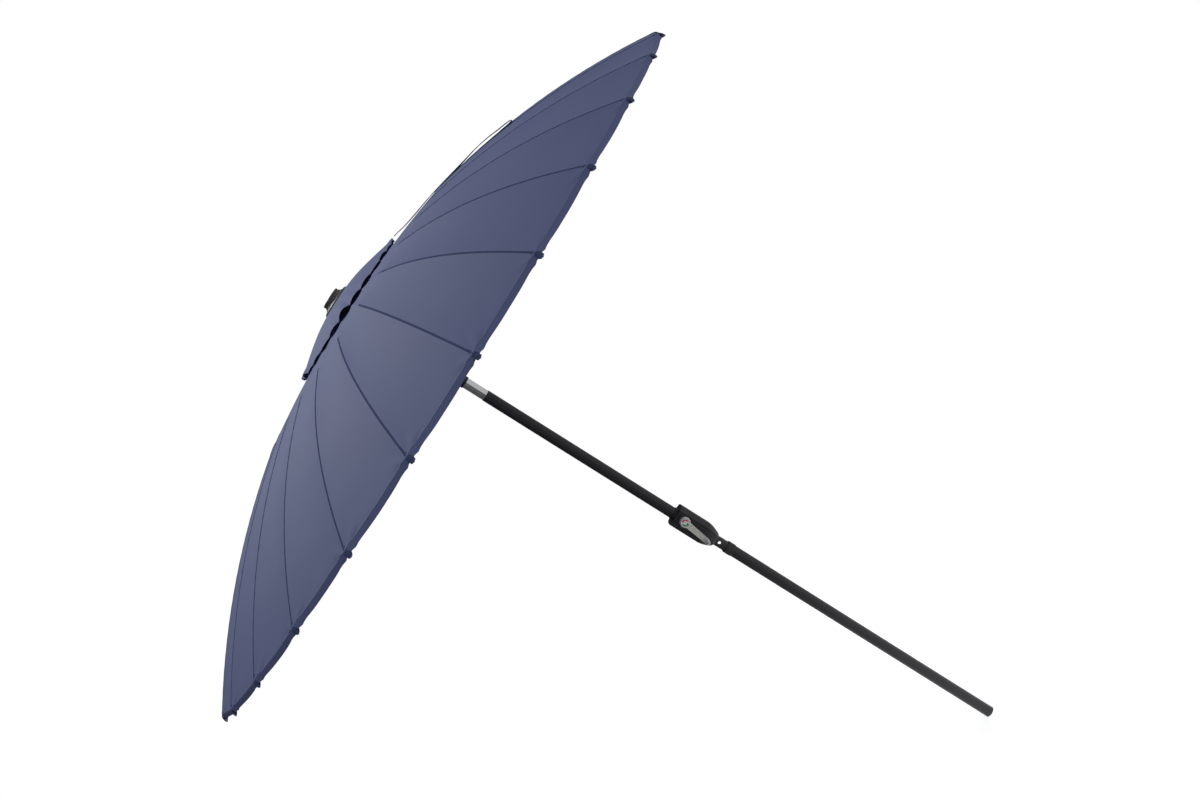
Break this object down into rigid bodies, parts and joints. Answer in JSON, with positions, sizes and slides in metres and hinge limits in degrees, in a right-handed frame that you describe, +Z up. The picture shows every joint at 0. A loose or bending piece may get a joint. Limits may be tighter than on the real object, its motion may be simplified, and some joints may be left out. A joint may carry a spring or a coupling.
{
  "type": "garden parasol",
  "caption": "Round crank-lift garden parasol with a curved multi-rib canopy, vent cap, push-button tilt joint and a two-piece pole.",
  "frame": {"origin": "centre of the pole's foot", "axes": "+Z up the pole to the finial; the crank faces -Y; the canopy tilts towards +X"},
  "size_m": [2.5, 2.4996, 2.655],
  "materials": {
    "pole_paint": "satin",
    "black_plastic": "matte",
    "stub_paint": "satin",
    "bright_steel": "satin",
    "spring_steel": "satin",
    "housing_plastic": "satin",
    "grey_plastic": "matte",
    "crank_chrome": "polished",
    "badge_face": "gloss",
    "knob_plastic": "satin",
    "chrome_tube": "polished",
    "joint_paint": "satin",
    "hub_plastic": "matte",
    "strut_paint": "satin",
    "rib_rod": "satin",
    "finial_plastic": "satin",
    "canopy_cloth": "matte",
    "strap_webbing": "matte"
  },
  "bodies": {
    "pole": {"lower_pole": "pole_paint", "foot_plug": "black_plastic", "pole_collar": "black_plastic", "coupling_stub": "stub_paint", "snap_spring": "spring_steel", "upper_pole": "pole_paint", "housing_front": "housing_plastic", "housing_rear": "housing_plastic", "housing_screws": "spring_steel", "spigot_tube": "chrome_tube", "tilt_fork": "joint_paint", "tilt_pin": "bright_steel", "button_spring": "spring_steel"},
    "snap_button": {"snap_button": "bright_steel"},
    "crank": {"crank_shaft": "bright_steel", "crank_spool": "grey_plastic", "crank_arm": "crank_chrome", "crank_badge": "badge_face", "knob_pin": "bright_steel"},
    "knob": {"crank_knob": "knob_plastic"},
    "tilt_button": {"tilt_button": "crank_chrome"},
    "canopy_frame": {"tilt_tongue": "joint_paint", "mast": "pole_paint", "hub": "hub_plastic", "hub_ring": "spring_steel", "finial": "finial_plastic", "canopy": "canopy_cloth", "vent_cap": "canopy_cloth"},
    "runner": {"runner": "hub_plastic", "runner_ring": "spring_steel", "struts": "strut_paint"},
    "rib_01": {"rib_01": "rib_rod"},
    "rib_02": {"rib_02": "rib_rod"},
    "rib_03": {"rib_03": "rib_rod"},
    "rib_04": {"rib_04": "rib_rod"},
    "rib_05": {"rib_05": "rib_rod"},
    "rib_06": {"rib_06": "rib_rod"},
    "rib_07": {"rib_07": "rib_rod"},
    "rib_08": {"rib_08": "rib_rod"},
    "rib_09": {"rib_09": "rib_rod"},
    "rib_10": {"rib_10": "rib_rod"},
    "rib_11": {"rib_11": "rib_rod"},
    "rib_12": {"rib_12": "rib_rod"},
    "rib_13": {"rib_13": "rib_rod"},
    "rib_14": {"rib_14": "rib_rod"},
    "rib_15": {"rib_15": "rib_rod"},
    "rib_16": {"rib_16": "rib_rod"},
    "rib_17": {"rib_17": "rib_rod"},
    "rib_18": {"rib_18": "rib_rod"},
    "rib_19": {"rib_19": "rib_rod"},
    "rib_20": {"rib_20": "rib_rod"},
    "rib_21": {"rib_21": "rib_rod"},
    "rib_22": {"rib_22": "rib_rod", "tie_strap": "strap_webbing"},
    "rib_23": {"rib_23": "rib_rod"},
    "rib_24": {"rib_24": "rib_rod"},
    "rib_25": {"rib_25": "rib_rod"},
    "rib_26": {"rib_26": "rib_rod"},
    "rib_27": {"rib_27": "rib_rod"},
    "rib_28": {"rib_28": "rib_rod"}
  },
  "joints": [
    {"name": "canopy_tilt", "type": "hinge", "parent": "pole", "child": "canopy_frame", "pos_m": [0, 0, 2.2], "axis": [0, 1, 0], "range_deg": [0, 30]},
    {"name": "runner_slide", "type": "slide", "parent": "canopy_frame", "child": "runner", "axis": [0, 0, 1], "range_m": [-0.66962, 0], "deforming": ["struts", "canopy", "vent_cap", "tie_strap"]},
    {"name": "crank_spin", "type": "hinge", "parent": "pole", "child": "crank", "pos_m": [0, 0, 1.297], "axis": [0, 1, 0], "range_deg": [-2520.5, 0.5]},
    {"name": "knob_spin", "type": "hinge", "parent": "crank", "child": "knob", "pos_m": [-0.01364, -0.06, 1.19995], "axis": [0, 1, 0], "continuous": true},
    {"name": "tilt_button_press", "type": "slide", "parent": "pole", "child": "tilt_button", "axis": [0, 1, 0], "range_m": [0, 0.004], "stiffness_N_per_m": 600, "springref_m": -0.004, "deforming": ["button_spring"]},
    {"name": "snap_button_press", "type": "slide", "parent": "pole", "child": "snap_button", "axis": [0, -1, 0], "range_m": [0, 0.005], "stiffness_N_per_m": 500, "springref_m": -0.004, "deforming": ["snap_spring"]},
    {"name": "rib_01_hinge", "type": "hinge", "parent": "canopy_frame", "child": "rib_01", "pos_m": [-0.0022, -0.04194, 2.575], "axis": [0.9986, -0.0523, 0], "range_deg": [-0.5, 73]},
    {"name": "rib_02_hinge", "type": "hinge", "parent": "canopy_frame", "child": "rib_02", "pos_m": [-0.01148, -0.0404, 2.575], "axis": [0.9619, -0.2732, 0], "range_deg": [-0.5, 73]},
    {"name": "rib_03_hinge", "type": "hinge", "parent": "canopy_frame", "child": "rib_03", "pos_m": [-0.02018, -0.03684, 2.575], "axis": [0.877, -0.4804, 0], "range_deg": [-0.5, 73]},
    {"name": "rib_04_hinge", "type": "hinge", "parent": "canopy_frame", "child": "rib_04", "pos_m": [-0.02787, -0.03142, 2.575], "axis": [0.7481, -0.6636, 0], "range_deg": [-0.5, 73]},
    {"name": "rib_05_hinge", "type": "hinge", "parent": "canopy_frame", "child": "rib_05", "pos_m": [-0.03416, -0.02443, 2.575], "axis": [0.5817, -0.8134, 0], "range_deg": [-0.5, 73]},
    {"name": "rib_06_hinge", "type": "hinge", "parent": "canopy_frame", "child": "rib_06", "pos_m": [-0.03874, -0.01622, 2.575], "axis": [0.3861, -0.9224, 0], "range_deg": [-0.5, 73]},
    {"name": "rib_07_hinge", "type": "hinge", "parent": "canopy_frame", "child": "rib_07", "pos_m": [-0.04138, -0.00719, 2.575], "axis": [0.1712, -0.9852, 0], "range_deg": [-0.5, 73]},
    {"name": "rib_08_hinge", "type": "hinge", "parent": "canopy_frame", "child": "rib_08", "pos_m": [-0.04194, 0.0022, 2.575], "axis": [-0.0523, -0.9986, 0], "range_deg": [-0.5, 73]},
    {"name": "rib_09_hinge", "type": "hinge", "parent": "canopy_frame", "child": "rib_09", "pos_m": [-0.0404, 0.01148, 2.575], "axis": [-0.2732, -0.9619, 0], "range_deg": [-0.5, 73]},
    {"name": "rib_10_hinge", "type": "hinge", "parent": "canopy_frame", "child": "rib_10", "pos_m": [-0.03684, 0.02018, 2.575], "axis": [-0.4804, -0.877, 0], "range_deg": [-0.5, 73]},
    {"name": "rib_11_hinge", "type": "hinge", "parent": "canopy_frame", "child": "rib_11", "pos_m": [-0.03142, 0.02787, 2.575], "axis": [-0.6636, -0.7481, 0], "range_deg": [-0.5, 73]},
    {"name": "rib_12_hinge", "type": "hinge", "parent": "canopy_frame", "child": "rib_12", "pos_m": [-0.02443, 0.03416, 2.575], "axis": [-0.8134, -0.5817, 0], "range_deg": [-0.5, 73]},
    {"name": "rib_13_hinge", "type": "hinge", "parent": "canopy_frame", "child": "rib_13", "pos_m": [-0.01622, 0.03874, 2.575], "axis": [-0.9224, -0.3861, 0], "range_deg": [-0.5, 73]},
    {"name": "rib_14_hinge", "type": "hinge", "parent": "canopy_frame", "child": "rib_14", "pos_m": [-0.00719, 0.04138, 2.575], "axis": [-0.9852, -0.1712, 0], "range_deg": [-0.5, 73]},
    {"name": "rib_15_hinge", "type": "hinge", "parent": "canopy_frame", "child": "rib_15", "pos_m": [0.0022, 0.04194, 2.575], "axis": [-0.9986, 0.0523, 0], "range_deg": [-0.5, 73]},
    {"name": "rib_16_hinge", "type": "hinge", "parent": "canopy_frame", "child": "rib_16", "pos_m": [0.01148, 0.0404, 2.575], "axis": [-0.9619, 0.2732, 0], "range_deg": [-0.5, 73]},
    {"name": "rib_17_hinge", "type": "hinge", "parent": "canopy_frame", "child": "rib_17", "pos_m": [0.02018, 0.03684, 2.575], "axis": [-0.877, 0.4804, 0], "range_deg": [-0.5, 73]},
    {"name": "rib_18_hinge", "type": "hinge", "parent": "canopy_frame", "child": "rib_18", "pos_m": [0.02787, 0.03142, 2.575], "axis": [-0.7481, 0.6636, 0], "range_deg": [-0.5, 73]},
    {"name": "rib_19_hinge", "type": "hinge", "parent": "canopy_frame", "child": "rib_19", "pos_m": [0.03416, 0.02443, 2.575], "axis": [-0.5817, 0.8134, 0], "range_deg": [-0.5, 73]},
    {"name": "rib_20_hinge", "type": "hinge", "parent": "canopy_frame", "child": "rib_20", "pos_m": [0.03874, 0.01622, 2.575], "axis": [-0.3861, 0.9224, 0], "range_deg": [-0.5, 73]},
    {"name": "rib_21_hinge", "type": "hinge", "parent": "canopy_frame", "child": "rib_21", "pos_m": [0.04138, 0.00719, 2.575], "axis": [-0.1712, 0.9852, 0], "range_deg": [-0.5, 73]},
    {"name": "rib_22_hinge", "type": "hinge", "parent": "canopy_frame", "child": "rib_22", "pos_m": [0.04194, -0.0022, 2.575], "axis": [0.0523, 0.9986, 0], "range_deg": [-0.5, 73]},
    {"name": "rib_23_hinge", "type": "hinge", "parent": "canopy_frame", "child": "rib_23", "pos_m": [0.0404, -0.01148, 2.575], "axis": [0.2732, 0.9619, 0], "range_deg": [-0.5, 73]},
    {"name": "rib_24_hinge", "type": "hinge", "parent": "canopy_frame", "child": "rib_24", "pos_m": [0.03684, -0.02018, 2.575], "axis": [0.4804, 0.877, 0], "range_deg": [-0.5, 73]},
    {"name": "rib_25_hinge", "type": "hinge", "parent": "canopy_frame", "child": "rib_25", "pos_m": [0.03142, -0.02787, 2.575], "axis": [0.6636, 0.7481, 0], "range_deg": [-0.5, 73]},
    {"name": "rib_26_hinge", "type": "hinge", "parent": "canopy_frame", "child": "rib_26", "pos_m": [0.02443, -0.03416, 2.575], "axis": [0.8134, 0.5817, 0], "range_deg": [-0.5, 73]},
    {"name": "rib_27_hinge", "type": "hinge", "parent": "canopy_frame", "child": "rib_27", "pos_m": [0.01622, -0.03874, 2.575], "axis": [0.9224, 0.3861, 0], "range_deg": [-0.5, 73]},
    {"name": "rib_28_hinge", "type": "hinge", "parent": "canopy_frame", "child": "rib_28", "pos_m": [0.00719, -0.04138, 2.575], "axis": [0.9852, 0.1712, 0], "range_deg": [-0.5, 73]}
  ],
  "couplings": [
    {"joint": "crank_spin", "follows": "runner_slide", "rad_per_m": 65.682},
    {"joint": "rib_01_hinge", "follows": "runner_slide", "rad_per_m": -1.8897},
    {"joint": "rib_02_hinge", "follows": "runner_slide", "rad_per_m": -1.8897},
    {"joint": "rib_03_hinge", "follows": "runner_slide", "rad_per_m": -1.8897},
    {"joint": "rib_04_hinge", "follows": "runner_slide", "rad_per_m": -1.8897},
    {"joint": "rib_05_hinge", "follows": "runner_slide", "rad_per_m": -1.8897},
    {"joint": "rib_06_hinge", "follows": "runner_slide", "rad_per_m": -1.8897},
    {"joint": "rib_07_hinge", "follows": "runner_slide", "rad_per_m": -1.8897},
    {"joint": "rib_08_hinge", "follows": "runner_slide", "rad_per_m": -1.8897},
    {"joint": "rib_09_hinge", "follows": "runner_slide", "rad_per_m": -1.8897},
    {"joint": "rib_10_hinge", "follows": "runner_slide", "rad_per_m": -1.8897},
    {"joint": "rib_11_hinge", "follows": "runner_slide", "rad_per_m": -1.8897},
    {"joint": "rib_12_hinge", "follows": "runner_slide", "rad_per_m": -1.8897},
    {"joint": "rib_13_hinge", "follows": "runner_slide", "rad_per_m": -1.8897},
    {"joint": "rib_14_hinge", "follows": "runner_slide", "rad_per_m": -1.8897},
    {"joint": "rib_15_hinge", "follows": "runner_slide", "rad_per_m": -1.8897},
    {"joint": "rib_16_hinge", "follows": "runner_slide", "rad_per_m": -1.8897},
    {"joint": "rib_17_hinge", "follows": "runner_slide", "rad_per_m": -1.8897},
    {"joint": "rib_18_hinge", "follows": "runner_slide", "rad_per_m": -1.8897},
    {"joint": "rib_19_hinge", "follows": "runner_slide", "rad_per_m": -1.8897},
    {"joint": "rib_20_hinge", "follows": "runner_slide", "rad_per_m": -1.8897},
    {"joint": "rib_21_hinge", "follows": "runner_slide", "rad_per_m": -1.8897},
    {"joint": "rib_22_hinge", "follows": "runner_slide", "rad_per_m": -1.8897},
    {"joint": "rib_23_hinge", "follows": "runner_slide", "rad_per_m": -1.8897},
    {"joint": "rib_24_hinge", "follows": "runner_slide", "rad_per_m": -1.8897},
    {"joint": "rib_25_hinge", "follows": "runner_slide", "rad_per_m": -1.8897},
    {"joint": "rib_26_hinge", "follows": "runner_slide", "rad_per_m": -1.8897},
    {"joint": "rib_27_hinge", "follows": "runner_slide", "rad_per_m": -1.8897},
    {"joint": "rib_28_hinge", "follows": "runner_slide", "rad_per_m": -1.8897}
  ]
}
